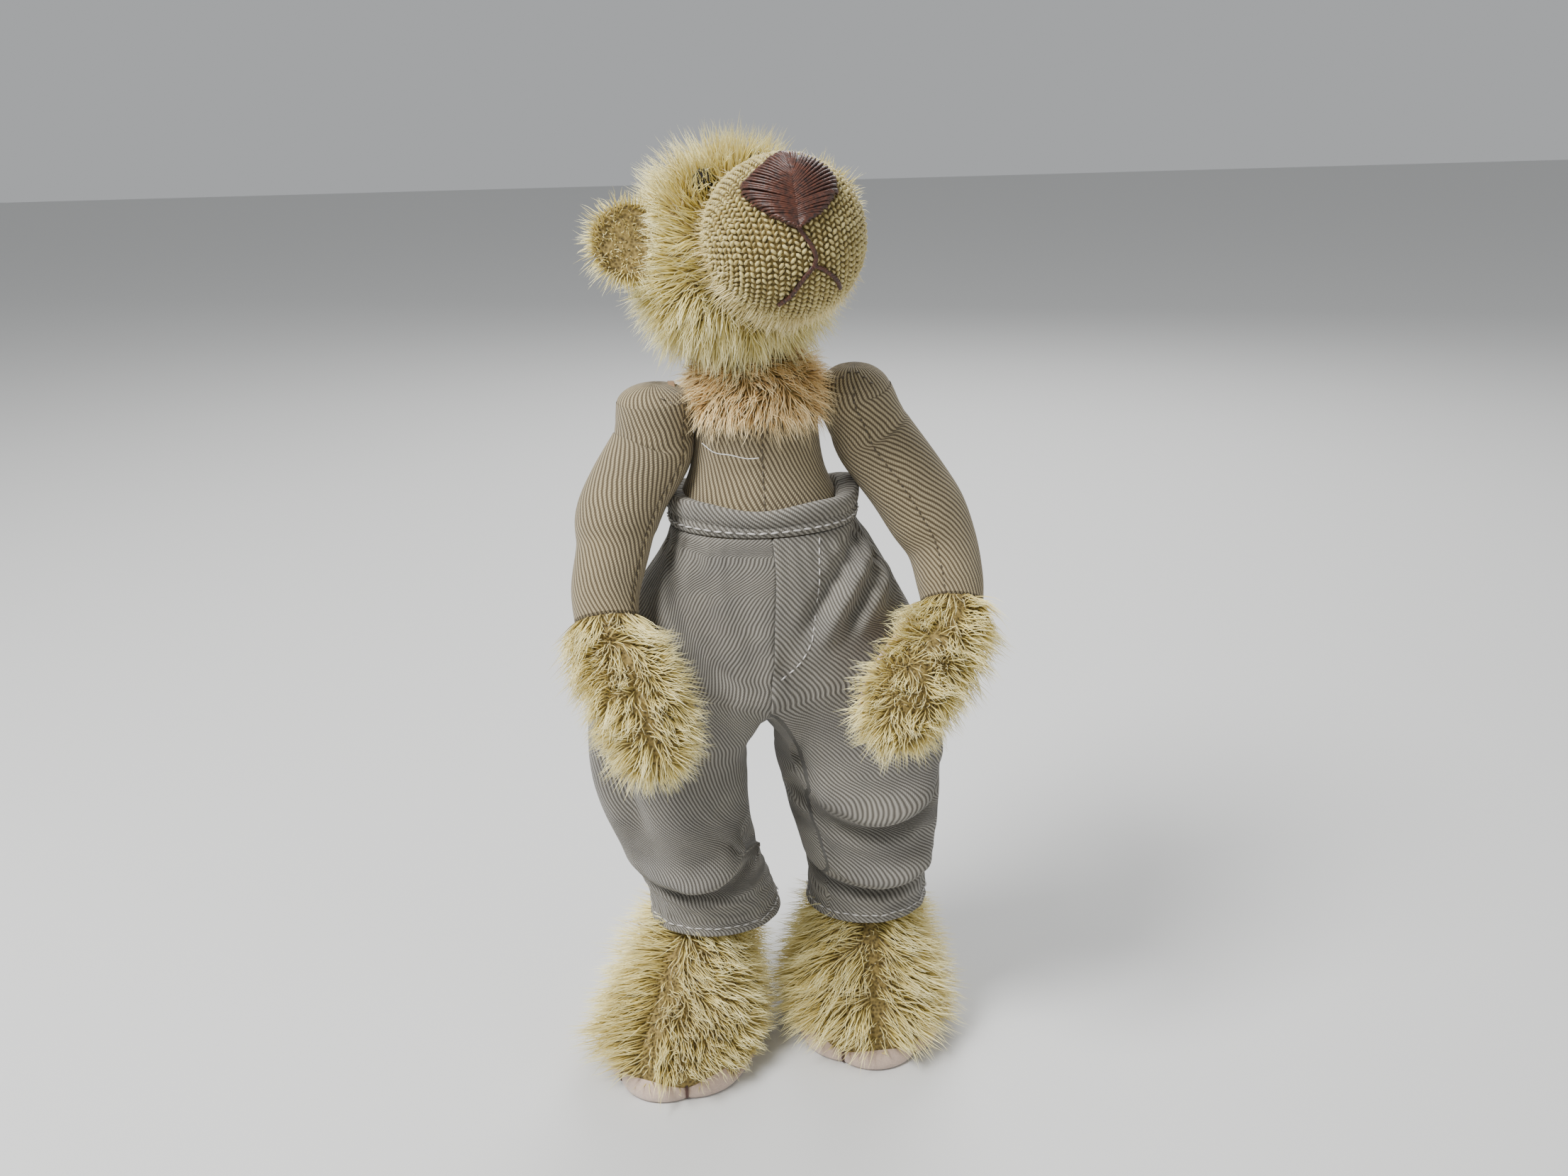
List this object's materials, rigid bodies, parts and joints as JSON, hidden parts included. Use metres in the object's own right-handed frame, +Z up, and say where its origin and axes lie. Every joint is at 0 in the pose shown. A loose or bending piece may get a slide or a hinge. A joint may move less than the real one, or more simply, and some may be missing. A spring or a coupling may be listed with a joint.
{
  "type": "jointed teddy bear in trousers",
  "caption": "Small stuffed mohair teddy bear with disc-jointed head, arms and legs, twill body, felt palms and soles, and grey twill trousers.",
  "frame": {"origin": "on the floor under the middle of the bounding box", "axes": "+Z up, -Y the way the bear stands facing, +X towards the bear's own left"},
  "size_m": [0.082, 0.0532, 0.1907],
  "materials": {
    "pale_mohair": "long pale yellow mohair pile on an olive woven backing",
    "cream_mohair": "warmer cream mohair pile, 5 mm long",
    "clipped_mohair": "mohair clipped short, so that the olive gold backing shows",
    "tan_twill": "khaki cotton twill with hand-closed seams",
    "grey_twill": "warm grey cotton twill with pale topstitching",
    "felt": "pinkish beige wool felt",
    "brown_thread": "reddish brown embroidery thread in satin stitch",
    "black_glass": "solid black glass, polished",
    "stuffing": "loose polyester fibre fill",
    "fibre_board": "pressed hardboard and card",
    "zinc_steel": "zinc-plated steel, sealed inside the bear"
  },
  "bodies": {
    "torso": {"torso_cover": "tan_twill", "chest_yoke": "cream_mohair", "torso_stuffing": "stuffing", "trousers_seat": "grey_twill", "waistband": "grey_twill", "neck_body_disc": "fibre_board", "shoulder_right_body_disc": "fibre_board", "shoulder_left_body_disc": "fibre_board", "hip_right_body_disc": "fibre_board", "hip_left_body_disc": "fibre_board"},
    "head": {"head_cover": "pale_mohair", "muzzle_cover": "clipped_mohair", "ear_right": "pale_mohair", "ear_left": "pale_mohair", "eye_right": "black_glass", "eye_left": "black_glass", "nose_stitching": "brown_thread", "mouth_stitching": "brown_thread", "head_stuffing": "stuffing", "muzzle_stuffing": "stuffing", "neck_limb_disc": "fibre_board", "neck_lock_nut": "zinc_steel", "neck_bolt": "zinc_steel"},
    "arm_right": {"arm_cover_right": "tan_twill", "paw_cover_right": "cream_mohair", "paw_pad_right": "felt", "arm_stuffing_right": "stuffing", "shoulder_right_limb_disc": "fibre_board", "shoulder_right_lock_nut": "zinc_steel", "shoulder_right_bolt": "zinc_steel"},
    "arm_left": {"arm_cover_left": "tan_twill", "paw_cover_left": "cream_mohair", "paw_pad_left": "felt", "arm_stuffing_left": "stuffing", "shoulder_left_limb_disc": "fibre_board", "shoulder_left_lock_nut": "zinc_steel", "shoulder_left_bolt": "zinc_steel"},
    "leg_right": {"trouser_leg_right": "grey_twill", "leg_cover_right": "tan_twill", "foot_cover_right": "pale_mohair", "sole_felt_right": "felt", "insole_card_right": "fibre_board", "leg_stuffing_right": "stuffing", "hip_right_limb_disc": "fibre_board", "hip_right_lock_nut": "zinc_steel", "hip_right_bolt": "zinc_steel"},
    "leg_left": {"trouser_leg_left": "grey_twill", "leg_cover_left": "tan_twill", "foot_cover_left": "pale_mohair", "sole_felt_left": "felt", "insole_card_left": "fibre_board", "leg_stuffing_left": "stuffing", "hip_left_limb_disc": "fibre_board", "hip_left_lock_nut": "zinc_steel", "hip_left_bolt": "zinc_steel"}
  },
  "joints": [
    {"name": "neck_turn", "type": "hinge", "parent": "torso", "child": "head", "pos_m": [-0.00617, 0.00718, 0.1711], "axis": [-0.1806, -0.0201, 0.9833], "continuous": true},
    {"name": "shoulder_right", "type": "hinge", "parent": "torso", "child": "arm_right", "pos_m": [-0.02286, 0.00718, 0.1435], "axis": [-1, 0, 0], "range_deg": [0, 100]},
    {"name": "shoulder_left", "type": "hinge", "parent": "torso", "child": "arm_left", "pos_m": [0.01772, 0.00718, 0.1435], "axis": [-1, 0, 0], "range_deg": [0, 100]},
    {"name": "hip_right", "type": "hinge", "parent": "torso", "child": "leg_right", "pos_m": [-0.02332, 0.00718, 0.094], "axis": [-1, 0, 0], "range_deg": [-16, 12]},
    {"name": "hip_left", "type": "hinge", "parent": "torso", "child": "leg_left", "pos_m": [0.01818, 0.00718, 0.094], "axis": [-1, 0, 0], "range_deg": [-16, 12]}
  ]
}
